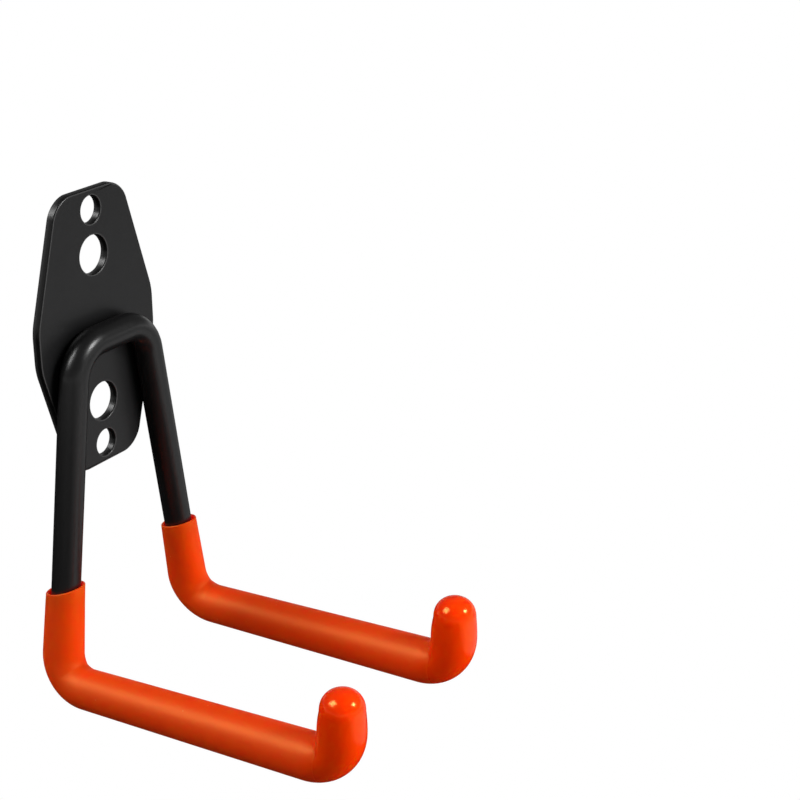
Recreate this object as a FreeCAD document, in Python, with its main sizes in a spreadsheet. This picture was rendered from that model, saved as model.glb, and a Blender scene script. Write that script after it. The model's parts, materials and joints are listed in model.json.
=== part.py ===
import FreeCAD, Part
import Sketcher
import math
import os

from FreeCAD import Placement, Rotation, Vector

# A double-prong garage hook, in millimetres.
# The origin is the middle of the wall plate's back face: X runs across, Z runs up, the prongs reach to -Y.

# Driving dimensions: name, value, what it measures
SIZES = (
    ("plate_height", 78.0, "wall plate, end to end"),
    ("plate_mid_width", 46.4, "wall plate across its middle"),
    ("plate_end_width", 26.0, "wall plate across each end, to the sharp corners"),
    ("plate_side_length", 11.2, "upright edge at each side of the middle"),
    ("plate_thick", 2.4, "sheet thickness of the wall plate"),
    ("plate_end_corner", 7.6, "corner radius at the four end corners"),
    ("plate_side_corner", 15.0, "corner radius at the four side corners"),
    ("plate_edge_ease", 0.5, "eased front edge of the stamped plate"),
    ("small_hole_dia", 7.6, "outer pair of screw holes"),
    ("small_hole_inset", 5.6, "from each end of the plate to an outer hole's centre"),
    ("large_hole_dia", 10.8, "inner pair of screw holes"),
    ("large_hole_inset", 18.0, "from each end of the plate to an inner hole's centre"),
    ("hole_edge_ease", 0.35, "eased lip at the front of each hole"),
    ("rod_dia", 8.0, "hook rod"),
    ("weld_set_down", 0.2, "how far the welded rod is pressed flat on the plate"),
    ("bar_drop", 0.9, "crossbar axis below the plate's middle"),
    ("bar_span", 28.2, "between the two shoulder corners on the rod's axis"),
    ("foot_span", 57.8, "between the two foot corners on the rod's axis"),
    ("tip_span", 55.9, "between the two upturned tips on the rod's axis"),
    ("leg_drop", 93.5, "from the crossbar's axis down to the foot corners"),
    ("arm_reach", 92.3, "from the legs forward to the tips"),
    ("arm_rise", 4.4, "rise of each arm over its reach"),
    ("tip_height", 15.8, "from the arm's end corner up to the rod's cut end"),
    ("shoulder_bend", 10.2, "bend radius between crossbar and leg"),
    ("foot_bend", 8.9, "bend radius between leg and arm"),
    ("tip_bend", 10.4, "bend radius between arm and tip"),
    ("sleeve_rise", 27.9, "middle of the sleeve's rim above the foot corner, along the leg"),
    ("sleeve_clearance", 0.05, "free play between rod and sleeve bore"),
    ("foot_wall", 1.65, "sleeve wall round the foot bend"),
    ("arm_end_wall", 2.35, "sleeve wall at the arm's front end and round the tip bend"),
    ("tip_wall", 2.05, "sleeve wall at the top of the tip"),
    ("rim_slope", 15.0, "degrees by which the cut rim rises towards the front"),
    ("trim_length", 2.0, "sleeve cut off above the middle of the rim"),
    ("mouth_wall", 0.65, "sleeve wall at the uncut end"),
    ("mouth_gap", 0.7, "gap between rod and sleeve at the uncut end"),
    ("mouth_depth", 5.0, "depth below the rim at which that gap has closed"),
)

# The bore runs this far past the uncut end, so that it cuts clean through
CUT_MARGIN = 1.0
# Two lengths nearer than this are the same when an edge is looked up
NEAR = 1e-4

UP = Vector(0, 0, 1)
ROD_RADIUS = "Sizes.rod_dia / 2"

doc = FreeCAD.newDocument("garage_hook")
sheet = doc.addObject("Spreadsheet::Sheet", "Sizes")
for row, (alias, value, note) in enumerate(SIZES, start=1):
    sheet.set("A%d" % row, alias)
    sheet.set("B%d" % row, str(value))
    sheet.set("C%d" % row, note)
    sheet.setAlias("B%d" % row, alias)
doc.recompute()


def size(alias):
    """One driving dimension, as the sheet holds it."""
    return float(sheet.get(alias))


def bind(item, **formulas):
    """Ties properties of a document object to formulas in the sheet's names."""
    for prop, formula in formulas.items():
        item.setExpression(prop, formula)


def origin_plane(body, role):
    """A body's own origin plane, by its role."""
    return next(plane for plane in body.Origin.OriginFeatures if plane.Role == role)


def new_sketch(body, name):
    """An empty sketch on the wall plane of a body: its x is X, its y is Z and its normal is -Y."""
    sketch = body.newObject("Sketcher::SketchObject", name)
    sketch.AttachmentSupport = (origin_plane(body, "XZ_Plane"), [""])
    sketch.MapMode = "FlatFace"
    return sketch


def bound_constraint(sketch, constraint, name, formula):
    """Adds a named size constraint that follows the sheet."""
    index = sketch.addConstraint(constraint)
    sketch.renameConstraint(index, name)
    sketch.setExpression("Constraints." + name, formula)


# Wall plate

def plate_outline(body):
    """The plate's outline before its corners are rounded: two ends, two sides and four slants."""
    sketch = new_sketch(body, "plate_outline")
    end, side = size("plate_end_width") / 2, size("plate_mid_width") / 2
    top, flat = size("plate_height") / 2, size("plate_side_length") / 2
    corners = [(-end, top), (end, top), (side, flat), (side, -flat)]
    corners += [(-x, -z) for x, z in corners]
    count = len(corners)
    for index, (x, z) in enumerate(corners):
        next_x, next_z = corners[(index + 1) % count]
        sketch.addGeometry(Part.LineSegment(Vector(x, z, 0), Vector(next_x, next_z, 0)), False)
    for index in range(count):
        sketch.addConstraint(Sketcher.Constraint("Coincident", index, 2, (index + 1) % count, 1))
    across, upright = -1, -2
    for line, axis in ((0, upright), (4, upright), (2, across), (6, across)):
        sketch.addConstraint(Sketcher.Constraint("Symmetric", line, 1, line, 2, axis))
    for name, line, start, finish in (("top_width", 0, 1, 2), ("bottom_width", 4, 2, 1)):
        width = Sketcher.Constraint("DistanceX", line, start, line, finish, 2 * end)
        bound_constraint(sketch, width, name, "Sizes.plate_end_width")
    for name, line, start, finish in (("right_length", 2, 2, 1), ("left_length", 6, 1, 2)):
        length = Sketcher.Constraint("DistanceY", line, start, line, finish, 2 * flat)
        bound_constraint(sketch, length, name, "Sizes.plate_side_length")
    for name, first, second in (("top_height", (-1, 1), (0, 1)), ("bottom_height", (4, 1), (-1, 1))):
        height = Sketcher.Constraint("DistanceY", *first, *second, top)
        bound_constraint(sketch, height, name, "Sizes.plate_height / 2")
    for name, first, second in (("right_reach", (-1, 1), (2, 1)), ("left_reach", (6, 1), (-1, 1))):
        reach = Sketcher.Constraint("DistanceX", *first, *second, side)
        bound_constraint(sketch, reach, name, "Sizes.plate_mid_width / 2")
    return sketch


def plate_holes(body):
    """Two pairs of screw holes on the plate's upright centre line."""
    sketch = new_sketch(body, "plate_holes")
    for pair in ("small", "large"):
        half = size("plate_height") / 2 - size(pair + "_hole_inset")
        radius = size(pair + "_hole_dia") / 2
        for place, sign in (("upper", 1), ("lower", -1)):
            index = sketch.addGeometry(Part.Circle(Vector(0, sign * half, 0), UP, radius), False)
            sketch.addConstraint(Sketcher.Constraint("PointOnObject", index, 3, -2))
            name = "%s_%s" % (pair, place)
            ends = ((-1, 1), (index, 3)) if sign > 0 else ((index, 3), (-1, 1))
            offset = Sketcher.Constraint("DistanceY", *ends[0], *ends[1], half)
            formula = "Sizes.plate_height / 2 - Sizes.%s_hole_inset" % pair
            bound_constraint(sketch, offset, name + "_height", formula)
            across = Sketcher.Constraint("Diameter", index, 2 * radius)
            bound_constraint(sketch, across, name + "_dia", "Sizes.%s_hole_dia" % pair)
    return sketch


def dress_edges(body, base, kind, name, wanted, **formulas):
    """Rounds or eases the edges of a feature that a test picks out."""
    dressing = body.newObject("PartDesign::" + kind, name)
    picked = ["Edge%d" % number for number, edge in enumerate(base.Shape.Edges, start=1) if wanted(edge)]
    dressing.Base = (base, picked)
    bind(dressing, **formulas)
    doc.recompute()
    return dressing


def runs_through(edge):
    """True for a straight edge through the sheet's thickness."""
    ends = [vertex.Point for vertex in edge.Vertexes]
    return len(ends) == 2 and abs(ends[0].x - ends[1].x) < NEAR and abs(ends[0].z - ends[1].z) < NEAR


def on_front(edge):
    """True for an edge that lies in the plate's front face."""
    front = -size("plate_thick")
    return abs(edge.BoundBox.YMin - front) < NEAR and abs(edge.BoundBox.YMax - front) < NEAR


def is_hole_rim(edge):
    """True for a whole circle, as a hole's rim is."""
    return edge.isClosed() and isinstance(edge.Curve, Part.Circle)


def build_plate():
    """The stamped wall plate: long six-sided outline, rounded corners, four holes and eased front edges."""
    body = doc.addObject("PartDesign::Body", "wall_plate")
    pad = body.newObject("PartDesign::Pad", "plate_sheet")
    pad.Profile = plate_outline(body)
    bind(pad, Length="Sizes.plate_thick")
    doc.recompute()
    half_height = size("plate_height") / 2

    def end_corner(edge):
        return runs_through(edge) and abs(abs(edge.CenterOfMass.z) - half_height) < NEAR

    ends = dress_edges(body, pad, "Fillet", "end_corners", end_corner, Radius="Sizes.plate_end_corner")
    half_side = size("plate_side_length") / 2

    def side_corner(edge):
        return runs_through(edge) and abs(abs(edge.CenterOfMass.z) - half_side) < NEAR

    sides = dress_edges(body, ends, "Fillet", "side_corners", side_corner, Radius="Sizes.plate_side_corner")
    holes = body.newObject("PartDesign::Pocket", "screw_holes")
    holes.Profile = plate_holes(body)
    holes.Type = "ThroughAll"
    holes.Reversed = True
    doc.recompute()
    if holes.Shape.Volume >= sides.Shape.Volume:
        raise RuntimeError("the screw holes cut nothing")

    def outline_edge(edge):
        return on_front(edge) and not is_hole_rim(edge)

    eased = dress_edges(body, holes, "Chamfer", "front_edge", outline_edge, Size="Sizes.plate_edge_ease")

    def hole_edge(edge):
        return on_front(edge) and is_hole_rim(edge)

    body.Tip = dress_edges(body, eased, "Chamfer", "hole_lips", hole_edge, Size="Sizes.hole_edge_ease")
    body.Label = "wall_plate"
    return body


# Places along the bent rod, on its axis; side is -1 on the left and 1 on the right

def rod_depth():
    """How far forward of the wall the crossbar's axis lies."""
    return size("plate_thick") + size("rod_dia") / 2 - size("weld_set_down")


def shoulder(side):
    """Corner between crossbar and leg."""
    return Vector(side * size("bar_span") / 2, -rod_depth(), -size("bar_drop"))


def foot(side):
    """Corner between leg and arm."""
    return Vector(side * size("foot_span") / 2, -rod_depth(), -size("bar_drop") - size("leg_drop"))


def toe(side):
    """Corner between arm and tip."""
    depth = rod_depth() + size("arm_reach")
    return Vector(side * size("tip_span") / 2, -depth, foot(side).z + size("arm_rise"))


def rod_end(side):
    """Middle of the rod's cut end."""
    return toe(side) + UP * size("tip_height")


def direction(start, finish):
    """Unit vector from one point to another."""
    step = finish - start
    return step * (1 / step.Length)


def bend_ends(before, corner, after, radius):
    """Where a bend of the given radius leaves the two straights that meet at its corner."""
    back, ahead = direction(corner, before), direction(corner, after)
    length = radius / math.tan(back.getAngle(ahead) / 2)
    return corner + back * length, corner + ahead * length


def bend_arc(before, corner, after, radius):
    """The arc that rounds one corner of a bent path."""
    enter, leave = bend_ends(before, corner, after, radius)
    inwards = direction(corner, enter + (leave - enter) * 0.5)
    crown = corner + inwards * (math.hypot((enter - corner).Length, radius) - radius)
    return Part.Arc(enter, crown, leave).toShape()


def path_of(name, edges):
    """A wire that a round bar can be swept along."""
    path = doc.addObject("Part::Feature", name)
    path.Shape = Part.Wire(edges)
    return path


def bent_path(name, corners, radii):
    """A wire of straights joined by tangent arcs, one arc at each inner corner."""
    edges = []
    start = corners[0]
    for before, corner, after, radius in zip(corners, corners[1:], corners[2:], radii):
        enter, leave = bend_ends(before, corner, after, radius)
        edges.append(Part.makeLine(start, enter))
        edges.append(bend_arc(before, corner, after, radius))
        start = leave
    edges.append(Part.makeLine(start, corners[-1]))
    return path_of(name, edges)


def ring(name, centre, axis, radius):
    """A circle square to an axis, with its radius bound to a formula."""
    circle = doc.addObject("Part::Circle", name)
    bind(circle, Radius=radius)
    circle.Placement = Placement(centre, Rotation(UP, axis))
    return circle


def swept_round(name, path, radius):
    """A round bar swept along a path."""
    first = path.Shape.Edges[0]
    begin = first.FirstParameter
    sweep = doc.addObject("Part::Sweep", name)
    sweep.Sections = [ring(name + "_ring", first.valueAt(begin), first.tangentAt(begin), radius)]
    sweep.Spine = (path, [])
    sweep.Solid = True
    sweep.Frenet = False
    return sweep


def tapered_round(name, first, last, first_radius, last_radius):
    """A round bar between two points, with a radius formula for each end."""
    cone = doc.addObject("Part::Cone", name)
    cone.Height = (last - first).Length
    bind(cone, Radius1=first_radius, Radius2=last_radius)
    cone.Placement = Placement(first, Rotation(UP, direction(first, last)))
    return cone


# Hook rod

def build_rod(plate):
    """One rod with six bends, pressed flat where it is welded to the plate."""
    corners = [rod_end(-1), toe(-1), foot(-1), shoulder(-1), shoulder(1), foot(1), toe(1), rod_end(1)]
    outward = [size("tip_bend"), size("foot_bend"), size("shoulder_bend")]
    path = bent_path("rod_path", corners, outward + outward[::-1])
    rod = doc.addObject("Part::Cut", "hook_rod")
    rod.Base = swept_round("rod_round", path, ROD_RADIUS)
    rod.Tool = plate
    rod.Label = "hook_rod"
    doc.recompute()
    return rod


# Sleeves

BORE_RADIUS = ROD_RADIUS + " + Sizes.sleeve_clearance"
FOOT_RADIUS = BORE_RADIUS + " + Sizes.foot_wall"
ARM_END_RADIUS = BORE_RADIUS + " + Sizes.arm_end_wall"
TIP_RADIUS = BORE_RADIUS + " + Sizes.tip_wall"
MOUTH_RADIUS = ROD_RADIUS + " + Sizes.mouth_gap"
UNCUT_RADIUS = MOUTH_RADIUS + " + Sizes.mouth_wall"


def up_the_leg(side, length):
    """A point on the leg's axis, so far up from the foot corner."""
    return foot(side) + direction(foot(side), shoulder(side)) * length


def uncut_end(side):
    """Where the sleeve ends on the leg's axis before its rim is cut."""
    return up_the_leg(side, size("sleeve_rise") + size("trim_length"))


def bore_end(side):
    """Bottom of the bore, just past the rod's cut end."""
    return rod_end(side) + UP * size("sleeve_clearance")


def sleeve_skin(label, side):
    """The sleeve's outside: slim at the mouth, swelling along the arm, rounded off over the tip."""
    foot_corner = (shoulder(side), foot(side), toe(side), size("foot_bend"))
    tip_corner = (foot(side), toe(side), rod_end(side), size("tip_bend"))
    leg_end, arm_start = bend_ends(*foot_corner)
    arm_end, tip_start = bend_ends(*tip_corner)
    foot_arc = path_of(label + "_foot_arc", [bend_arc(*foot_corner)])
    tip_arc = path_of(label + "_tip_arc", [bend_arc(*tip_corner)])
    dome = doc.addObject("Part::Sphere", label + "_dome")
    dome.Angle1, dome.Angle2 = 0, 90
    bind(dome, Radius=TIP_RADIUS)
    dome.Placement = Placement(bore_end(side), Rotation())
    skin = doc.addObject("Part::MultiFuse", label + "_skin")
    skin.Shapes = [
        tapered_round(label + "_leg", leg_end, uncut_end(side), FOOT_RADIUS, UNCUT_RADIUS),
        swept_round(label + "_foot", foot_arc, FOOT_RADIUS),
        tapered_round(label + "_arm", arm_start, arm_end, FOOT_RADIUS, ARM_END_RADIUS),
        swept_round(label + "_toe", tip_arc, ARM_END_RADIUS),
        tapered_round(label + "_tip", tip_start, bore_end(side), ARM_END_RADIUS, TIP_RADIUS),
        dome,
    ]
    return skin


def sleeve_hollow(label, side):
    """The sleeve's inside: a bore on the rod's own axis, and a mouth that opens towards the rim."""
    past_end = up_the_leg(side, size("sleeve_rise") + size("trim_length") + CUT_MARGIN)
    corners = [bore_end(side), toe(side), foot(side), past_end]
    path = bent_path(label + "_bore_path", corners, [size("tip_bend"), size("foot_bend")])
    throat = up_the_leg(side, size("sleeve_rise") - size("mouth_depth"))
    hollow = doc.addObject("Part::MultiFuse", label + "_hollow")
    hollow.Shapes = [
        swept_round(label + "_bore", path, BORE_RADIUS),
        tapered_round(label + "_mouth", throat, uncut_end(side), BORE_RADIUS, MOUTH_RADIUS),
    ]
    return hollow


def rim_offcut(label, side):
    """What is cut off above the rim: level from side to side, rising towards the front."""
    slope = math.radians(size("rim_slope"))
    offcut = doc.addObject("Part::Cylinder", label + "_offcut")
    bind(offcut, Radius="Sizes.rod_dia * 2", Height="Sizes.rod_dia")
    square_up = Vector(0, math.sin(slope), math.cos(slope))
    offcut.Placement = Placement(up_the_leg(side, size("sleeve_rise")), Rotation(UP, square_up))
    return offcut


def build_sleeve(label, side):
    """A closed-end sleeve over one prong, open at its sloping rim up the leg."""
    waste = doc.addObject("Part::MultiFuse", label + "_waste")
    waste.Shapes = [sleeve_hollow(label, side), rim_offcut(label, side)]
    sleeve = doc.addObject("Part::Cut", label)
    sleeve.Base = sleeve_skin(label, side)
    sleeve.Tool = waste
    sleeve.Label = label
    doc.recompute()
    return sleeve


def check_and_write(items):
    """Stops on any object that failed, then writes each sub-part to its own file."""
    for item in doc.Objects:
        if "Invalid" in item.State or "Error" in item.State:
            raise RuntimeError("%s did not build: %s" % (item.Name, item.State))
    os.makedirs("parts", exist_ok=True)
    for item in items:
        shape = item.Shape
        if shape.isNull() or not shape.isValid() or len(shape.Solids) != 1:
            raise RuntimeError("%s is not one sound solid" % item.Label)
        shape.exportStep("parts/%s.step" % item.Label)
        print("%s: %.1f mm3" % (item.Label, shape.Volume))


wall_plate = build_plate()
hook_rod = build_rod(wall_plate)
sleeves = [build_sleeve(label, side) for label, side in (("left_sleeve", -1), ("right_sleeve", 1))]
check_and_write([wall_plate, hook_rod] + sleeves)
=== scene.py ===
"""A steel wall hook: a pierced plate, one bent rod and two orange dipped grips."""

import json
import logging
import math
from dataclasses import dataclass
from enum import Enum
from typing import Callable

import bmesh
import bpy
from mathutils import Matrix, Vector


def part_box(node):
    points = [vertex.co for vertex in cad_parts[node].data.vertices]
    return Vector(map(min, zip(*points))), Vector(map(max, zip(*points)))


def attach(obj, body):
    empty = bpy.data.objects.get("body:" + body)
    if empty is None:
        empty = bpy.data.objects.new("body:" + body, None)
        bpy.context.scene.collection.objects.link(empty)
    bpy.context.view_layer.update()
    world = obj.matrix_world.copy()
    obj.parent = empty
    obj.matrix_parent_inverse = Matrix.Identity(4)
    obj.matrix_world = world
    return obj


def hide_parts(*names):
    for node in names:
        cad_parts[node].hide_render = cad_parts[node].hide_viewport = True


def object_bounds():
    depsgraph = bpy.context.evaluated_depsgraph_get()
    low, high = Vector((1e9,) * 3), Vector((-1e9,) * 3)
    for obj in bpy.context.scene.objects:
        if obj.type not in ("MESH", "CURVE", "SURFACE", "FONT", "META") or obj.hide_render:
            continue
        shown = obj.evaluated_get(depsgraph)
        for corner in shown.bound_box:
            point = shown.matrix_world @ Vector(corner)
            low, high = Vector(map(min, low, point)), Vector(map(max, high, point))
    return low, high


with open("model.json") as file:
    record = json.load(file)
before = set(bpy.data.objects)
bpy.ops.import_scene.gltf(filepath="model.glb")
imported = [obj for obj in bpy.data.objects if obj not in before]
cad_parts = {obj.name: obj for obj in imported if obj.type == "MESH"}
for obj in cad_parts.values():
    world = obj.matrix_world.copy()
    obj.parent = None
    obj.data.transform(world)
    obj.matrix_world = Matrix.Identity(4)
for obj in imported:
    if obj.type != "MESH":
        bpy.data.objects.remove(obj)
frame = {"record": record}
cad_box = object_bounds()

log = logging.getLogger("hook")

BODY = "root"
MERGE_DISTANCE = 1e-6
MM_PER_METRE = 1000
QUARTER_TURN = math.pi / 2
ROUND_PROFILE = 0.5

Colour = tuple[float, float, float]


class Side(Enum):
    """Which prong a piece belongs to, with its sign along X."""

    LEFT = -1
    RIGHT = 1


class Slot(Enum):
    """The record's material slots."""

    BLACK = "black_coat"
    ORANGE = "orange_vinyl"


class Bench:
    """Steps that every piece shares while it is modelled."""

    @staticmethod
    def clear() -> None:
        """Leaves nothing selected, so that an operator acts on the new piece alone."""
        bpy.ops.object.select_all(action="DESELECT")

    @staticmethod
    def adopt(name: str) -> bpy.types.Object:
        """Names the primitive just added and moves its place into its mesh.

        Args:
            name: the piece's own name.

        Returns:
            The new piece, at the origin and in edit mode, selected all over.
        """
        piece = bpy.context.object
        piece.name = name
        bpy.ops.object.transform_apply(location=True, rotation=True, scale=True)
        bpy.ops.object.mode_set(mode="EDIT")
        bpy.ops.mesh.select_all(action="SELECT")
        return piece

    @staticmethod
    def pick_points(piece: bpy.types.Object, wanted: Callable[[Vector], bool]) -> None:
        """Selects the points whose place passes a test, with the edges and faces between them.

        Args:
            piece: the piece in edit mode.
            wanted: tells from a point's place whether it is selected.
        """
        bpy.ops.mesh.select_all(action="DESELECT")
        mesh = bmesh.from_edit_mesh(piece.data)
        for point in mesh.verts:
            point.select_set(wanted(point.co))
        mesh.select_flush(True)
        bmesh.update_edit_mesh(piece.data)

    @staticmethod
    def pick_edges(piece: bpy.types.Object, wanted: Callable[[bmesh.types.BMEdge], bool]) -> None:
        """Selects the edges that pass a test.

        Args:
            piece: the piece in edit mode.
            wanted: tells whether an edge is selected.
        """
        bpy.ops.mesh.select_all(action="DESELECT")
        bpy.ops.mesh.select_mode(type="EDGE")
        mesh = bmesh.from_edit_mesh(piece.data)
        for edge in mesh.edges:
            edge.select_set(wanted(edge))
        bmesh.update_edit_mesh(piece.data)

    @staticmethod
    def close(piece: bpy.types.Object, smooth_angle: float) -> None:
        """Merges doubles, turns the faces outwards, leaves edit mode and smooths the shading.

        Args:
            piece: the piece in edit mode.
            smooth_angle: edges sharper than this stay crisp, in radians.
        """
        bpy.ops.mesh.select_mode(type="VERT")
        bpy.ops.mesh.select_all(action="SELECT")
        bpy.ops.mesh.remove_doubles(threshold=MERGE_DISTANCE)
        bpy.ops.mesh.normals_make_consistent(inside=False)
        bpy.ops.object.mode_set(mode="OBJECT")
        bpy.context.view_layer.objects.active = piece
        piece.select_set(True)
        bpy.ops.object.shade_smooth_by_angle(angle=smooth_angle)

    @staticmethod
    def apply(piece: bpy.types.Object, kind: str, **settings: object) -> None:
        """Adds a modifier with its settings and applies it.

        Args:
            piece: the piece in object mode.
            kind: the modifier's type.
            **settings: values for the modifier's own fields.
        """
        bpy.context.view_layer.objects.active = piece
        modifier = piece.modifiers.new(kind.title(), kind)
        for field_name, value in settings.items():
            setattr(modifier, field_name, value)
        bpy.ops.object.modifier_apply(modifier=modifier.name)


class Bender:
    """Draws a ring of edges out into a round tube, run by run and bend by bend."""

    def __init__(self, name: str, start: Vector, heading: Vector, radius: float, sides: int) -> None:
        """Lays the first ring.

        Args:
            name: the piece's name.
            start: the ring's centre.
            heading: the way the tube sets off.
            radius: the ring's radius.
            sides: how many points the ring has.
        """
        Bench.clear()
        bpy.ops.mesh.primitive_circle_add(
            vertices=sides,
            radius=radius,
            location=start,
            rotation=heading.to_track_quat("Z", "Y").to_euler(),
        )
        self.piece = Bench.adopt(name)
        self.place = start.copy()
        self.heading = heading.normalized()
        self.facing = self.heading.copy()
        self.radius = radius

    def run(self, end: Vector, radius: float | None = None, steps: int = 1) -> None:
        """Draws the ring straight to a point.

        Args:
            end: where the ring's centre goes.
            radius: the ring's radius there, if it changes.
            steps: how many rings the run has.
        """
        last = self.radius if radius is None else radius
        step = (end - self.place) / steps
        change = (last - self.radius) / steps
        for _ in range(steps):
            bpy.ops.mesh.extrude_region_move(TRANSFORM_OT_translate={"value": step})
            self.place += step
            self.widen(self.radius + change)

    def taper(self, end: Vector, radius: float, steps: int) -> None:
        """Draws the ring to a point, with a radius and a drift that start to change gently.

        Args:
            end: where the ring's centre goes.
            radius: the ring's radius there.
            steps: how many rings the taper has.
        """
        start, first = self.place.copy(), self.radius
        ahead = self.heading * (end - start).dot(self.heading)
        drift = end - start - ahead
        for step in range(1, steps + 1):
            share = step / steps
            gentle = share * share
            self.run(start + ahead * share + drift * gentle, first + (radius - first) * gentle)

    def widen(self, radius: float) -> None:
        """Sets the radius of the ring that is being drawn.

        Args:
            radius: the new radius.
        """
        factor = radius / self.radius
        bpy.ops.transform.resize(value=(factor,) * 3, center_override=self.place)
        self.radius = radius

    def slant(self, facing: Vector) -> None:
        """Turns the ring that is being drawn to face another way, and stretches it to stay on the tube.

        Args:
            facing: the way that the ring faces afterwards.
        """
        hinge = self.facing.cross(facing).normalized()
        lean = self.facing.angle(facing)
        stretch = math.cos(self.facing.angle(self.heading)) / math.cos(facing.angle(self.heading))
        turned = Matrix((hinge.cross(facing), facing, hinge)).transposed()
        bpy.ops.transform.rotate(
            value=-lean,
            orient_axis="Z",
            orient_matrix=turned,
            center_override=self.place,
        )
        bpy.ops.transform.resize(
            value=(stretch, 1, 1),
            orient_matrix=turned,
            center_override=self.place,
        )
        self.facing = facing.copy()

    def bend(self, corner: Vector, onward: Vector, bend_radius: float, steps: int) -> None:
        """Runs up to a corner and swings the ring round it.

        Args:
            corner: where the two straight lines would meet.
            onward: a point on the line that the tube follows next.
            bend_radius: radius of the tube's centre line in the bend.
            steps: how many rings the bend has.
        """
        outward = (onward - corner).normalized()
        turn = self.heading.angle(outward)
        setback = bend_radius * math.tan(turn / 2)
        self.run(corner - self.heading * setback)
        toward = (outward - self.heading * self.heading.dot(outward)).normalized()
        bpy.ops.mesh.spin(
            steps=steps,
            angle=-turn,
            center=self.place + toward * bend_radius,
            axis=self.heading.cross(toward),
        )
        self.place = corner + outward * setback
        self.heading = outward
        self.facing = outward

    def dome(self, steps: int, fullness: float) -> None:
        """Closes the tube with a dome as high as half a ball.

        Args:
            steps: how many rings the dome has.
            fullness: 1 gives half a ball, and less gives a squarer shoulder.
        """
        base = self.place.copy()
        ball = self.radius
        for step in range(1, steps):
            lift = QUARTER_TURN * step / steps
            height = ball * math.sin(lift) ** fullness
            self.run(base + self.heading * height, ball * math.cos(lift) ** fullness)
        bpy.ops.mesh.extrude_region_move(
            TRANSFORM_OT_translate={"value": base + self.heading * ball - self.place}
        )
        bpy.ops.mesh.merge(type="CENTER")

    def cap(self) -> None:
        """Closes the ring that is being drawn with one flat face."""
        bpy.ops.mesh.edge_face_add()


@dataclass
class HookLine:
    """The rod's centre line: a bar across the plate, splayed legs, forward arms and upturned tips."""

    depth: float = 0.0062
    bar_height: float = -0.0009
    bar_half_span: float = 0.0141
    foot_half_span: float = 0.0289
    tip_half_span: float = 0.02795
    leg_drop: float = 0.0935
    arm_reach: float = 0.0923
    arm_rise: float = 0.0044
    tip_height: float = 0.0158
    shoulder_bend: float = 0.0102
    foot_bend: float = 0.0089
    tip_bend: float = 0.0104

    def middle(self) -> Vector:
        """The middle of the bar."""
        return Vector((0, -self.depth, self.bar_height))

    def shoulder(self, side: Side) -> Vector:
        """The corner between the bar and a leg."""
        return Vector((side.value * self.bar_half_span, -self.depth, self.bar_height))

    def foot(self, side: Side) -> Vector:
        """The corner between a leg and its arm."""
        return Vector((side.value * self.foot_half_span, -self.depth, self.bar_height - self.leg_drop))

    def toe(self, side: Side) -> Vector:
        """The corner between an arm and its upturned tip."""
        foot = self.foot(side)
        return Vector((side.value * self.tip_half_span, foot.y - self.arm_reach, foot.z + self.arm_rise))

    def end(self, side: Side) -> Vector:
        """The rod's cut end, inside the tip."""
        return self.toe(side) + Vector((0, 0, self.tip_height))

    def up_the_leg(self, side: Side, length: float) -> Vector:
        """A point on a leg's axis.

        Args:
            side: which leg.
            length: how far up from the foot corner.

        Returns:
            The point.
        """
        foot = self.foot(side)
        return foot + (self.shoulder(side) - foot).normalized() * length


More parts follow.
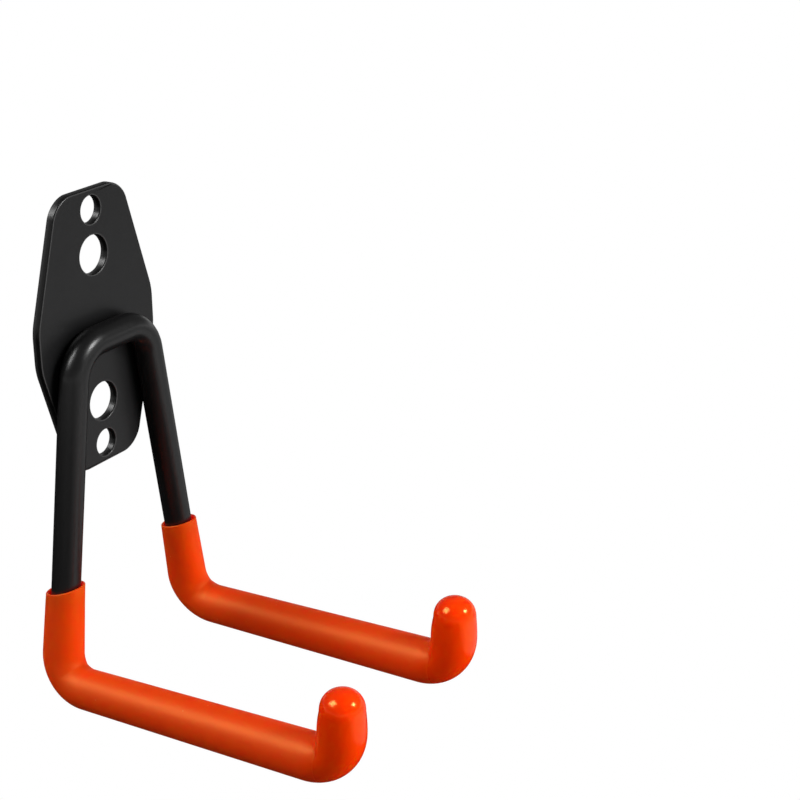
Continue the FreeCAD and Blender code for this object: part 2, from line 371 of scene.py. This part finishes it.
class FinishGraph:
    """A material's node graph, laid on the object's own coordinates in metres."""

    def __init__(self, name: str) -> None:
        """Starts a material with its surface shader.

        Args:
            name: the material's name.
        """
        self.material = bpy.data.materials.new(name)
        self.material.use_nodes = True
        self.nodes = self.material.node_tree.nodes
        self.links = self.material.node_tree.links
        self.shader = self.nodes["Principled BSDF"]
        self.coordinates = self.nodes.new("ShaderNodeTexCoord").outputs["Object"]

    def noise(self, scale: float, detail: float) -> bpy.types.NodeSocket:
        """A cloud pattern.

        Args:
            scale: patches in a metre.
            detail: how many finer layers it has.

        Returns:
            The pattern's value.
        """
        node = self.nodes.new("ShaderNodeTexNoise")
        node.inputs["Scale"].default_value = scale
        node.inputs["Detail"].default_value = detail
        self.links.new(self.coordinates, node.inputs["Vector"])
        return node.outputs["Fac"]

    def along(self, axis: str) -> bpy.types.NodeSocket:
        """How far a point lies along one axis of the object.

        Args:
            axis: X, Y or Z.

        Returns:
            The length in metres.
        """
        node = self.nodes.new("ShaderNodeSeparateXYZ")
        self.links.new(self.coordinates, node.inputs["Vector"])
        return node.outputs[axis]

    def specks(self, scale: float, size: float) -> bpy.types.NodeSocket:
        """Small scattered dots.

        Args:
            scale: dots in a metre.
            size: a dot's radius, as a share of the space between dots.

        Returns:
            1 in a dot and 0 outside it.
        """
        node = self.nodes.new("ShaderNodeTexVoronoi")
        node.inputs["Scale"].default_value = scale
        self.links.new(self.coordinates, node.inputs["Vector"])
        return self.spread(node.outputs["Distance"], 1.0, 0.0, 0.0, size)

    def spread(
        self,
        value: bpy.types.NodeSocket,
        low: float,
        high: float,
        start: float = 0.3,
        stop: float = 0.7,
    ) -> bpy.types.NodeSocket:
        """Maps a pattern's value on to a range.

        Args:
            value: the pattern.
            low: the result at start.
            high: the result at stop.
            start: the pattern's value that gives low.
            stop: the pattern's value that gives high.

        Returns:
            The mapped value, kept within the range.
        """
        node = self.nodes.new("ShaderNodeMapRange")
        node.inputs["From Min"].default_value = start
        node.inputs["From Max"].default_value = stop
        node.inputs["To Min"].default_value = low
        node.inputs["To Max"].default_value = high
        self.links.new(value, node.inputs["Value"])
        return node.outputs["Result"]

    def blend(
        self,
        value: bpy.types.NodeSocket,
        first: Colour | bpy.types.NodeSocket,
        second: Colour | bpy.types.NodeSocket,
    ) -> bpy.types.NodeSocket:
        """Mixes two colours by a pattern.

        Args:
            value: the pattern: 0 gives the first colour and 1 the second.
            first: a colour or a socket that has one.
            second: a colour or a socket that has one.

        Returns:
            The mixed colour.
        """
        node = self.nodes.new("ShaderNodeMix")
        node.data_type = "RGBA"
        self.links.new(value, node.inputs["Factor"])
        for name, colour in (("A", first), ("B", second)):
            socket = next(s for s in node.inputs if s.name == name and s.type == "RGBA")
            if isinstance(colour, bpy.types.NodeSocket):
                self.links.new(colour, socket)
            else:
                socket.default_value = (*colour, 1.0)
        return next(s for s in node.outputs if s.type == "RGBA")

    def emboss(self, layers: list[tuple[bpy.types.NodeSocket, float]]) -> None:
        """Raises the surface by patterns, one over the other.

        Args:
            layers: each pattern with its height in metres.
        """
        normal = None
        for value, height in layers:
            node = self.nodes.new("ShaderNodeBump")
            node.inputs["Distance"].default_value = height
            self.links.new(value, node.inputs["Height"])
            if normal is not None:
                self.links.new(normal, node.inputs["Normal"])
            normal = node.outputs["Normal"]
        self.link(normal, "Normal")

    def link(self, socket: bpy.types.NodeSocket, name: str) -> None:
        """Feeds a socket into the surface shader."""
        self.links.new(socket, self.shader.inputs[name])

    def set(self, name: str, value: float | tuple[float, ...]) -> None:
        """Sets a value that is the same all over on the surface shader."""
        self.shader.inputs[name].default_value = value


@dataclass(frozen=True)
class PowderCoat:
    """Satin black powder coat with a fine orange-peel skin."""

    name: str = "black_powder_coat"
    deep: Colour = (0.0045, 0.0045, 0.0046)
    light: Colour = (0.0062, 0.0062, 0.0063)
    roughness_low: float = 0.29
    roughness_high: float = 0.33
    specular: float = 0.50
    mottle_scale: float = 240.0
    peel_scale: float = 1500.0
    grain_scale: float = 5200.0
    peel_height: float = 0.000002
    grain_height: float = 0.0000004

    def build(self) -> bpy.types.Material:
        """Makes the node material.

        Returns:
            The finish, to be put on any coated piece.
        """
        graph = FinishGraph(self.name)
        mottle = graph.noise(self.mottle_scale, detail=4.0)
        peel = graph.noise(self.peel_scale, detail=2.0)
        grain = graph.noise(self.grain_scale, detail=1.0)
        graph.link(self.tone(graph, graph.blend(mottle, self.deep, self.light)), "Base Color")
        graph.link(graph.spread(peel, self.roughness_low, self.roughness_high), "Roughness")
        graph.emboss([(peel, self.peel_height), (grain, self.grain_height)])
        graph.set("Specular IOR Level", self.specular)
        return graph.material

    def tone(self, graph: FinishGraph, coat: bpy.types.NodeSocket) -> bpy.types.NodeSocket:
        """The coat's colour, the same on all sides."""
        return coat


@dataclass(frozen=True)
class PlateCoat(PowderCoat):
    """The same coat on sheet metal, with light painted on its walls: a painted highlight on the front edge,
    painted shade behind it and a painted sheen towards the back.
    """

    name: str = "black_plate_coat"
    deep: Colour = (0.0060, 0.0060, 0.0062)
    light: Colour = (0.0080, 0.0080, 0.0082)
    roughness_low: float = 0.30
    roughness_high: float = 0.35
    specular: float = 0.40
    # Painted highlight: the rim colour lightens the front edge where it rounds off.
    rim: Colour = (0.036, 0.036, 0.036)
    # Painted shade: a dark band on the walls just behind the front edge.
    painted_edge_shade: Colour = (0.002, 0.002, 0.002)
    # Painted sheen: a lighter tone on the back part of the walls.
    painted_back_sheen: Colour = (0.024, 0.024, 0.024)
    rim_start: float = -0.002396
    rim_stop: float = -0.00238
    front_stop: float = -0.00231
    painted_shade_start: float = -0.00222
    painted_sheen_start: float = -0.0014
    painted_sheen_stop: float = -0.0005
    back_start: float = -0.0001

    def tone(self, graph: FinishGraph, coat: bpy.types.NodeSocket) -> bpy.types.NodeSocket:
        """Paints light and shade on the plate's walls and the holes' walls from front to back: a painted
        highlight, painted shade, then a painted sheen.

        Args:
            graph: the material's graph.
            coat: the colour of the faces.

        Returns:
            The colour all over.
        """
        depth = graph.along("Y")
        # Painted sheen: the walls lighten towards the back.
        sheen_share = graph.spread(depth, 0.0, 1.0, self.painted_sheen_start, self.painted_sheen_stop)
        # The walls go from painted shade at the front to a painted sheen at the back.
        wall = graph.blend(sheen_share, self.painted_edge_shade, self.painted_back_sheen)
        # Painted highlight along the front edge.
        highlight_share = graph.spread(depth, 0.0, 1.0, self.rim_start, self.rim_stop)
        edge = graph.blend(highlight_share, coat, self.rim)
        behind = graph.spread(depth, 0.0, 1.0, self.front_stop, self.painted_shade_start)
        ahead = graph.spread(depth, 1.0, 0.0, self.painted_sheen_stop, self.back_start)
        return graph.blend(ahead, coat, graph.blend(behind, edge, wall))


@dataclass(frozen=True)
class DippedVinyl:
    """Orange vinyl, satin on the arms and glossy at the tips, uneven from dipping, with a few specks."""

    name: str = "orange_dipped_vinyl"
    base: Colour = (0.86, 0.036, 0.0)
    warm: Colour = (0.91, 0.048, 0.0)
    speck: Colour = (0.90, 0.20, 0.07)
    arm_roughness: float = 0.52
    tip_roughness: float = 0.18
    gloss_start: float = -0.088
    gloss_stop: float = -0.096
    specular: float = 1.0
    specular_tint: Colour = (1.0, 0.50, 0.12)
    glow: float = 0.9
    glow_radius: tuple[float, float, float] = (1.0, 0.12, 0.05)
    glow_depth: float = 0.0080
    cloud_scale: float = 55.0
    ripple_scale: float = 130.0
    grain_scale: float = 3800.0
    speck_scale: float = 170.0
    speck_size: float = 0.05
    ripple_height: float = 0.00008
    grain_height: float = 0.000008

    def build(self) -> bpy.types.Material:
        """Makes the node material.

        Returns:
            The finish, to be put on the grips.
        """
        graph = FinishGraph(self.name)
        cloud = graph.noise(self.cloud_scale, detail=3.0)
        ripple = graph.noise(self.ripple_scale, detail=1.0)
        grain = graph.noise(self.grain_scale, detail=2.0)
        tone = graph.blend(cloud, self.base, self.warm)
        specks = graph.specks(self.speck_scale, self.speck_size)
        graph.link(graph.blend(specks, tone, self.speck), "Base Color")
        reach = graph.along("Y")
        ends = (self.tip_roughness, self.arm_roughness)
        graph.link(graph.spread(reach, *ends, self.gloss_stop, self.gloss_start), "Roughness")
        graph.emboss([(ripple, self.ripple_height), (grain, self.grain_height)])
        graph.set("Specular IOR Level", self.specular)
        graph.set("Specular Tint", (*self.specular_tint, 1.0))
        graph.set("Subsurface Weight", self.glow)
        graph.set("Subsurface Radius", self.glow_radius)
        graph.set("Subsurface Scale", self.glow_depth)
        return graph.material


def dress(piece: bpy.types.Object, finish: bpy.types.Material, node: str) -> None:
    """Puts a finish on a piece and lets it stand for its CAD node.

    Args:
        piece: the finished mesh.
        finish: its material.
        node: the CAD node that it stands for.
    """
    piece.data.materials.clear()
    piece.data.materials.append(finish)
    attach(piece, BODY)
    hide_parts(node)
    log.info("%s: %d faces, stands for %s", piece.name, len(piece.data.polygons), node)


@dataclass
class WallPlate:
    """The pierced plate that is screwed to the wall: a long hexagon with rounded corners."""

    end_width: float = 0.026
    side_length: float = 0.0112
    end_corner: float = 0.0076
    side_corner: float = 0.015
    corner_steps: int = 14
    front_edge: float = 0.0005
    back_edge: float = 0.0002
    edge_steps: int = 5
    hole_sides: int = 72
    punch_thicknesses: int = 4
    node: str = "wall_plate"
    smooth_angle: float = math.radians(35)

    def build(self, finish: bpy.types.Material) -> bpy.types.Object:
        """Cuts the outline, pierces it and eases its edges.

        Args:
            finish: the plate's material.

        Returns:
            The plate.
        """
        low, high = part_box(self.node)
        width, thick, height = high - low
        piece = self.outline(width, height)
        bpy.ops.mesh.extrude_region_move(TRANSFORM_OT_translate={"value": (0, -thick, 0)})
        Bench.close(piece, self.smooth_angle)
        for place, radius in self.holes():
            self.pierce(piece, place, radius, thick)
        self.ease(piece, -thick, self.front_edge)
        self.ease(piece, 0.0, self.back_edge)
        Bench.apply(piece, "WEIGHTED_NORMAL", keep_sharp=True)
        dress(piece, finish, self.node)
        return piece

    def outline(self, width: float, height: float) -> bpy.types.Object:
        """The plate's back face, cut from a rectangle.

        Args:
            width: over the middle.
            height: from end to end.

        Returns:
            The piece in edit mode, selected all over.
        """
        Bench.clear()
        bpy.ops.mesh.primitive_plane_add(size=1, rotation=(QUARTER_TURN, 0, 0))
        bpy.context.object.scale = (width, height, 1)
        piece = Bench.adopt("pressed_plate")
        run_in = (width - self.end_width) / 2
        run_up = (height - self.side_length) / 2
        for across in (-1, 1):
            for up in (-1, 1):
                bpy.ops.mesh.select_all(action="SELECT")
                bpy.ops.mesh.bisect(
                    plane_co=(across * width / 2, 0, up * self.side_length / 2),
                    plane_no=Vector((across * run_up, 0, up * run_in)).normalized(),
                    clear_outer=True,
                )
        slant = math.atan2(run_up, run_in)
        Bench.pick_points(piece, lambda point: abs(abs(point.z) - height / 2) < MERGE_DISTANCE)
        self.round_corners(self.end_corner, slant)
        Bench.pick_points(piece, lambda point: abs(abs(point.x) - width / 2) < MERGE_DISTANCE)
        self.round_corners(self.side_corner, QUARTER_TURN - slant)
        bpy.ops.mesh.select_all(action="SELECT")
        return piece

    def round_corners(self, radius: float, turn: float) -> None:
        """Rounds the selected corners of the outline.

        Args:
            radius: the corner's radius.
            turn: how far the outline turns there, in radians.
        """
        bpy.ops.mesh.bevel(
            affect="VERTICES",
            offset_type="ABSOLUTE",
            offset=radius * math.tan(turn / 2),
            segments=self.corner_steps,
            profile=ROUND_PROFILE,
        )

    def holes(self) -> list[tuple[Vector, float]]:
        """The screw holes, from the mounts in the record.

        Returns:
            Each hole's centre and radius.
        """
        found = []
        for mount in frame["record"]["mounts"]:
            if mount["kind"] == "bolt_pattern":
                reach = mount["dims"]["spacing_y_mm"] / MM_PER_METRE / 2
                radius = mount["dims"]["hole_r_mm"] / MM_PER_METRE
                found += [(Vector((0, 0, reach)), radius), (Vector((0, 0, -reach)), radius)]
        return found

    def pierce(self, piece: bpy.types.Object, place: Vector, radius: float, thick: float) -> None:
        """Cuts one round hole through the plate.

        Args:
            piece: the plate.
            place: the hole's centre.
            radius: the hole's radius.
            thick: the plate's thickness.
        """
        Bench.clear()
        bpy.ops.mesh.primitive_cylinder_add(
            vertices=self.hole_sides,
            radius=radius,
            depth=thick * self.punch_thicknesses,
            location=place,
            rotation=(QUARTER_TURN, 0, 0),
        )
        punch = bpy.context.object
        Bench.apply(piece, "BOOLEAN", operation="DIFFERENCE", object=punch, solver="EXACT")
        bpy.data.objects.remove(punch)

    def ease(self, piece: bpy.types.Object, level: float, width: float) -> None:
        """Rounds the edges that lie round one face of the plate.

        Args:
            piece: the plate.
            level: where that face lies along Y.
            width: how wide the rounding is.
        """
        Bench.clear()
        bpy.context.view_layer.objects.active = piece
        piece.select_set(True)
        bpy.ops.object.mode_set(mode="EDIT")
        Bench.pick_edges(
            piece,
            lambda edge: all(abs(point.co.y - level) < MERGE_DISTANCE for point in edge.verts)
            and edge.calc_face_angle(0.0) > self.smooth_angle,
        )
        bpy.ops.mesh.bevel(
            offset=width,
            segments=self.edge_steps,
            profile=ROUND_PROFILE,
            clamp_overlap=False,
        )
        Bench.close(piece, self.smooth_angle)


@dataclass
class HookRod:
    """The one rod that makes the bar, legs, arms and tips, pressed flat where it is welded on.

    flat_ring is the share of the leg below the ring where the flat runs out, and flat_reach the share
    of the plate's lower half that the flat covers.
    """

    line: HookLine
    radius: float = 0.004
    sides: int = 48
    bend_steps: int = 20
    flat_ring: float = 0.72
    flat_reach: float = 0.7
    node: str = "hook_rod"
    smooth_angle: float = math.radians(40)

    def build(self, finish: bpy.types.Material) -> bpy.types.Object:
        """Bends half the rod, presses it on to the plate and mirrors it.

        Args:
            finish: the rod's material.

        Returns:
            The rod.
        """
        side = Side.RIGHT
        line = self.line
        bender = Bender("bent_rod", line.middle(), Vector((1, 0, 0)), self.radius, self.sides)
        bender.bend(line.shoulder(side), line.foot(side), line.shoulder_bend, self.bend_steps)
        bender.run(line.up_the_leg(side, line.leg_drop * self.flat_ring))
        bender.bend(line.foot(side), line.toe(side), line.foot_bend, self.bend_steps)
        bender.bend(line.toe(side), line.end(side), line.tip_bend, self.bend_steps)
        bender.run(line.end(side))
        bender.cap()
        piece = bender.piece
        self.press(piece)
        Bench.close(piece, self.smooth_angle)
        Bench.apply(piece, "MIRROR", use_axis=(True, False, False), use_clip=True)
        bpy.ops.object.mode_set(mode="EDIT")
        Bench.close(piece, self.smooth_angle)
        dress(piece, finish, self.node)
        return piece

    def press(self, piece: bpy.types.Object) -> None:
        """Flattens the rod's back where it lies on the plate.

        Args:
            piece: the rod in edit mode.
        """
        low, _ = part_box("wall_plate")
        level = low.y
        flat_end = low.z * self.flat_reach
        Bench.pick_points(piece, lambda point: point.y > level and point.z > flat_end)
        bpy.ops.transform.resize(value=(1, 0, 1), center_override=(0, level, 0))


@dataclass
class GripSleeve:
    """A dipped vinyl sleeve over one prong, with an open mouth on the leg and a closed round tip."""

    line: HookLine
    side: Side
    node: str
    name: str
    rod_radius: float = 0.004
    clearance: float = 0.00005
    foot_wall: float = 0.00165
    arm_end_wall: float = 0.00235
    tip_wall: float = 0.00188
    tip_lean: float = 0.0002
    rise: float = 0.0279
    rim_slope: float = math.radians(15)
    rim_gap: float = 0.00052
    rim_wall: float = 0.00074
    mouth_depth: float = 0.005
    mouth_lean: float = 0.0002
    foot_pinch: float = 0.0004
    tip_pinch: float = 0.0011
    pinch_reach: float = 0.0034
    fold_width: float = 0.0001
    fold_radii: float = 4.0
    fold_start: float = 0.95
    dome_fullness: float = 0.88
    sides: int = 64
    leg_steps: int = 5
    arm_steps: int = 24
    bend_steps: int = 30
    lip_steps: int = 8
    tip_steps: int = 10
    dome_steps: int = 18
    smooth_angle: float = math.radians(60)

    def build(self, finish: bpy.types.Material) -> bpy.types.Object:
        """Draws the bore up to the mouth, turns over the lip and draws the skin down to the tip.

        Args:
            finish: the sleeve's material.

        Returns:
            The sleeve.
        """
        line, side = self.line, self.side
        bore = self.rod_radius + self.clearance
        floor = line.end(side) + Vector((0, 0, self.clearance))
        bender = Bender(self.name, floor, Vector((0, 0, -1)), bore, self.sides)
        bender.bend(line.toe(side), line.foot(side), line.tip_bend, self.bend_steps)
        bender.bend(line.foot(side), line.shoulder(side), line.foot_bend, self.bend_steps)
        bender.run(line.up_the_leg(side, self.rise - self.mouth_depth))
        self.turn_the_lip(bender)
        self.draw_the_skin(bender, bore)
        piece = bender.piece
        self.close_bore()
        self.pinch(piece, line.foot(side), line.shoulder(side), line.toe(side), self.foot_pinch)
        self.pinch(piece, line.toe(side), line.foot(side), line.end(side), self.tip_pinch)
        Bench.close(piece, self.smooth_angle)
        dress(piece, finish, self.node)
        return piece

    def draw_the_skin(self, bender: Bender, bore: float) -> None:
        """Draws the outside from the rim down the leg, along the swelling arm and over the tip.

        Args:
            bender: the tube, drawn over its lip.
            bore: the bore's radius.
        """
        line, side = self.line, self.side
        leg_end = line.up_the_leg(side, self.setback(line.shoulder(side), line.foot(side), line.toe(side)))
        down = (line.foot(side) - line.shoulder(side)).normalized()
        first = bender.place + (leg_end - bender.place) / self.leg_steps
        step = (bore + self.foot_wall - bender.radius) / self.leg_steps
        bender.run(first, bender.radius + step)
        bender.slant(-down)
        bender.run(leg_end, bore + self.foot_wall, steps=self.leg_steps - 1)
        bender.heading = down
        bender.bend(line.foot(side), line.toe(side), line.foot_bend, self.bend_steps)
        tip_setback = self.setback(line.foot(side), line.toe(side), line.end(side))
        arm_end = line.toe(side) - bender.heading * tip_setback
        bender.run(arm_end, bore + self.arm_end_wall, steps=self.arm_steps)
        bender.bend(line.toe(side), line.end(side), line.tip_bend, self.bend_steps)
        top = line.end(side) + Vector((0, -self.tip_lean, self.clearance))
        bender.taper(top, bore + self.tip_wall, self.tip_steps)
        bender.dome(self.dome_steps, self.dome_fullness)

    def setback(self, before: Vector, corner: Vector, after: Vector) -> float:
        """How far from a corner its bend starts.

        Args:
            before: a point on the line that comes to the corner.
            corner: where the two straight lines would meet.
            after: a point on the line that leaves it.

        Returns:
            The length along either line.
        """
        turn = (corner - before).angle(after - corner)
        bend_radius = self.line.foot_bend if corner == self.line.foot(self.side) else self.line.tip_bend
        return bend_radius * math.tan(turn / 2)

    def pinch(
        self,
        piece: bpy.types.Object,
        corner: Vector,
        before: Vector,
        after: Vector,
        depth: float,
    ) -> None:
        """Presses in the inner side of a bend, where the soft skin folds.

        Args:
            piece: the sleeve in edit mode.
            corner: where the bend's two straight lines would meet.
            before: a point on the first line.
            after: a point on the second line.
            depth: how far the fold goes in.
        """
        back, ahead = (before - corner).normalized(), (after - corner).normalized()
        inwards = (back + ahead).normalized()
        across = back.cross(ahead).normalized()
        fold = (back - ahead).normalized()
        skin = self.rod_radius + self.clearance + self.foot_wall

        def on_fold(point: Vector) -> bool:
            """Tells whether a point of the skin lies on the fold.

            Args:
                point: the point's place.

            Returns:
                True on the bend's middle ring, on its inner side.
            """
            offset = point - corner
            near = abs(offset.dot(fold)) < self.fold_width and offset.length < self.fold_radii * skin
            inside = offset.dot(inwards) > self.fold_start * skin
            return near and inside and abs(offset.dot(across)) < skin

        Bench.pick_points(piece, on_fold)
        bpy.ops.transform.translate(
            value=-inwards * depth,
            use_proportional_edit=True,
            use_proportional_connected=True,
            proportional_edit_falloff="SHARP",
            proportional_size=self.pinch_reach,
        )

    def turn_the_lip(self, bender: Bender) -> None:
        """Flares the bore to the sloping mouth and rolls the ring over the round lip.

        Args:
            bender: the tube, drawn up to where the flare starts.
        """
        mouth = self.rod_radius + self.rim_gap
        half = self.rim_wall / 2
        lean = Vector((self.side.value * self.mouth_lean, 0, 0))
        rim_up = Vector((0, math.sin(self.rim_slope), math.cos(self.rim_slope)))
        base = self.line.up_the_leg(self.side, self.rise - half) + lean
        bender.run(base, mouth)
        bender.slant(rim_up)
        for step in range(1, self.lip_steps + 1):
            turn = math.pi * step / self.lip_steps
            place = base + rim_up * half * math.sin(turn)
            bender.run(place, mouth + half * (1 - math.cos(turn)))

    def close_bore(self) -> None:
        """Closes the bottom of the bore, the only open ring of the sleeve in edit mode."""
        bpy.ops.mesh.select_mode(type="VERT")
        bpy.ops.mesh.select_all(action="DESELECT")
        bpy.ops.mesh.select_non_manifold(use_wire=False, use_multi_face=False, use_verts=False)
        bpy.ops.mesh.edge_face_add()


@dataclass(frozen=True)
class SoftBox:
    """A square soft light that faces the hook, given in degrees, metres and watts."""

    name: str
    azimuth: float
    elevation: float
    distance: float
    size: float
    power: float
    mirrored: bool = True

    def direction(self) -> Vector:
        """The way to the light: round from the front towards +X, then up.

        Returns:
            A vector of length 1.
        """
        round_about, up = math.radians(self.azimuth), math.radians(self.elevation)
        across = math.sin(round_about) * math.cos(up)
        forward = math.cos(round_about) * math.cos(up)
        return Vector((across, -forward, math.sin(up)))

    def hang(self, aim: Vector) -> None:
        """Hangs the light in its place. Glossy surfaces show it only if it is mirrored.

        Args:
            aim: the point that it faces.
        """
        lamp = bpy.data.lights.new(self.name, "AREA")
        lamp.energy = self.power
        lamp.size = self.size
        box = bpy.data.objects.new(self.name, lamp)
        bpy.context.scene.collection.objects.link(box)
        away = self.direction()
        box.location = aim + away * self.distance
        box.rotation_euler = (-away).to_track_quat("-Z", "Y").to_euler()
        box.visible_glossy = self.mirrored


@dataclass
class Studio:
    """White floor and sky, a dark cloth that only reflections show, three soft boxes and the camera."""

    floor_drop: float = 0.30
    floor_size: float = 12.0
    floor_colour: Colour = (0.28, 0.28, 0.28)
    floor_roughness: float = 0.9
    floor_shadow: float = 0.35
    floor_mirrored: float = 0.22
    shadow_near: float = 0.18
    shadow_far: float = 0.36
    cloth_drop: float = 0.12
    cloth_size: float = 6.0
    cloth_turn: float = math.radians(38)
    cloth_edge: float = 0.24
    cloth_colour: Colour = (0.01, 0.01, 0.01)
    cloth_roughness: float = 1.0
    fill: float = 0.17
    overhead: float = 0.10
    horizon_top: float = 0.0
    overhead_from: float = 0.12
    boxes: tuple[SoftBox, ...] = (
        SoftBox("front_box", azimuth=18.4, elevation=34.6, distance=1.1, size=0.24, power=6.5),
        SoftBox("low_box", azimuth=12.0, elevation=3.0, distance=1.2, size=0.8, power=16.5, mirrored=False),
        SoftBox("rear_box", azimuth=-131.0, elevation=46.0, distance=1.0, size=0.48, power=8.4),
    )
    aim: Vector = Vector((0.0, -0.05, -0.05))
    camera_place: Vector = Vector((-0.33930, -0.30661, 0.15962))
    camera_target: Vector = Vector((0.00064, -0.09789, -0.00093))
    camera_lens: float = 78.83
    camera_near: float = 0.01

    def build(self) -> None:
        """Sets up all that isn't part of the object."""
        bpy.context.scene.view_settings.view_transform = "Standard"
        self.sky()
        self.floor()
        self.dark_cloth()
        for box in self.boxes:
            box.hang(self.aim)
        self.camera()

    def seen_directly(self, tree: bpy.types.NodeTree, mirrored: float = 1.0) -> bpy.types.NodeSocket:
        """A value that is 1 for camera and see-through rays, and as much as is asked for mirror rays.

        Args:
            tree: the material's or world's node tree.
            mirrored: the value for mirror rays.

        Returns:
            The value.
        """
        path = tree.nodes.new("ShaderNodeLightPath")
        direct = tree.nodes.new("ShaderNodeMath")
        direct.operation = "MAXIMUM"
        tree.links.new(path.outputs["Is Camera Ray"], direct.inputs[0])
        tree.links.new(path.outputs["Is Transmission Ray"], direct.inputs[1])
        total = tree.nodes.new("ShaderNodeMath")
        total.operation = "MULTIPLY_ADD"
        tree.links.new(path.outputs["Is Glossy Ray"], total.inputs[0])
        total.inputs[1].default_value = mirrored
        tree.links.new(direct.outputs["Value"], total.inputs[2])
        return total.outputs["Value"]

    def sky(self) -> None:
        """A surround that is white to the camera, darker higher up in reflections, and lights gently."""
        world = bpy.data.worlds.new("white_surround")
        bpy.context.scene.world = world
        world.use_nodes = True
        tree = world.node_tree
        direction = tree.nodes.new("ShaderNodeTexCoord")
        split = tree.nodes.new("ShaderNodeSeparateXYZ")
        tree.links.new(direction.outputs["Generated"], split.inputs["Vector"])
        backdrop = tree.nodes.new("ShaderNodeMapRange")
        backdrop.inputs["From Min"].default_value = self.horizon_top
        backdrop.inputs["From Max"].default_value = self.overhead_from
        backdrop.inputs["To Min"].default_value = 1.0
        backdrop.inputs["To Max"].default_value = self.overhead
        tree.links.new(split.outputs["Z"], backdrop.inputs["Value"])
        path = tree.nodes.new("ShaderNodeLightPath")
        shown = tree.nodes.new("ShaderNodeMath")
        shown.operation = "MAXIMUM"
        tree.links.new(path.outputs["Is Camera Ray"], shown.inputs[0])
        tree.links.new(backdrop.outputs["Result"], shown.inputs[1])
        strength = tree.nodes.new("ShaderNodeMapRange")
        strength.inputs["To Min"].default_value = self.fill
        tree.links.new(shown.outputs["Value"], strength.inputs["To Max"])
        tree.links.new(self.seen_directly(tree), strength.inputs["Value"])
        background = tree.nodes["Background"]
        background.inputs["Color"].default_value = (1, 1, 1, 1)
        tree.links.new(strength.outputs["Result"], background.inputs["Strength"])

    def floor(self) -> None:
        """A floor well below the hook, white to the camera but for the shadow, and dim in reflections."""
        Bench.clear()
        level = cad_box[0].z - self.floor_drop
        bpy.ops.mesh.primitive_plane_add(size=self.floor_size, location=(0, 0, level))
        floor = bpy.context.object
        floor.name = "floor"
        material = bpy.data.materials.new("pale_floor")
        material.use_nodes = True
        tree = material.node_tree
        shader = tree.nodes["Principled BSDF"]
        shader.inputs["Base Color"].default_value = (*self.floor_colour, 1)
        shader.inputs["Roughness"].default_value = self.floor_roughness
        place = tree.nodes.new("ShaderNodeTexCoord")
        reach = tree.nodes.new("ShaderNodeVectorMath")
        reach.operation = "LENGTH"
        tree.links.new(place.outputs["Object"], reach.inputs[0])
        white_share = tree.nodes.new("ShaderNodeMapRange")
        white_share.inputs["From Min"].default_value = self.shadow_near
        white_share.inputs["From Max"].default_value = self.shadow_far
        white_share.inputs["To Min"].default_value = 1.0 - self.floor_shadow
        white_share.inputs["To Max"].default_value = 1.0
        tree.links.new(reach.outputs["Value"], white_share.inputs["Value"])
        glow = tree.nodes.new("ShaderNodeMath")
        glow.operation = "MULTIPLY"
        tree.links.new(self.seen_directly(tree, self.floor_mirrored), glow.inputs[0])
        tree.links.new(white_share.outputs["Result"], glow.inputs[1])
        white = tree.nodes.new("ShaderNodeEmission")
        mixed = tree.nodes.new("ShaderNodeMixShader")
        tree.links.new(glow.outputs["Value"], mixed.inputs["Fac"])
        tree.links.new(shader.outputs["BSDF"], mixed.inputs[1])
        tree.links.new(white.outputs["Emission"], mixed.inputs[2])
        tree.links.new(mixed.outputs["Shader"], tree.nodes["Material Output"].inputs["Surface"])
        floor.data.materials.append(material)

    def dark_cloth(self) -> None:
        """A black cloth under the hook, to its left and behind it, that is seen in reflections only.

        Its straight front edge, on the right, lets the floor beyond it be mirrored.
        """
        Bench.clear()
        level = cad_box[0].z - self.cloth_drop
        back = self.cloth_size / 2 - self.cloth_edge
        bpy.ops.mesh.primitive_plane_add(
            size=self.cloth_size,
            location=(-math.sin(self.cloth_turn) * back, math.cos(self.cloth_turn) * back, level),
            rotation=(0, 0, self.cloth_turn),
        )
        cloth = bpy.context.object
        cloth.name = "dark_cloth"
        material = bpy.data.materials.new("black_cloth")
        material.use_nodes = True
        shader = material.node_tree.nodes["Principled BSDF"]
        shader.inputs["Base Color"].default_value = (*self.cloth_colour, 1)
        shader.inputs["Roughness"].default_value = self.cloth_roughness
        shader.inputs["Specular IOR Level"].default_value = 0.0
        cloth.data.materials.append(material)
        cloth.visible_camera = False
        cloth.visible_diffuse = False
        cloth.visible_shadow = False

    def camera(self) -> None:
        """The camera at the photograph's viewing angle."""
        lens = bpy.data.cameras.new("camera")
        lens.lens = self.camera_lens
        lens.clip_start = self.camera_near
        camera = bpy.data.objects.new("camera", lens)
        bpy.context.scene.collection.objects.link(camera)
        camera.location = self.camera_place
        sight = self.camera_target - self.camera_place
        camera.rotation_euler = sight.to_track_quat("-Z", "Y").to_euler()
        bpy.context.scene.camera = camera


def main() -> None:
    """Builds the hook's pieces in order, then the studio round them."""
    logging.basicConfig(level=logging.INFO)
    line = HookLine()
    orange = DippedVinyl().build()
    WallPlate().build(PlateCoat().build())
    HookRod(line).build(PowderCoat().build())
    GripSleeve(line, Side.LEFT, "left_sleeve", "left_grip").build(orange)
    GripSleeve(line, Side.RIGHT, "right_sleeve", "right_grip").build(orange)
    Studio().build()


if __name__ == "__main__":
    main()
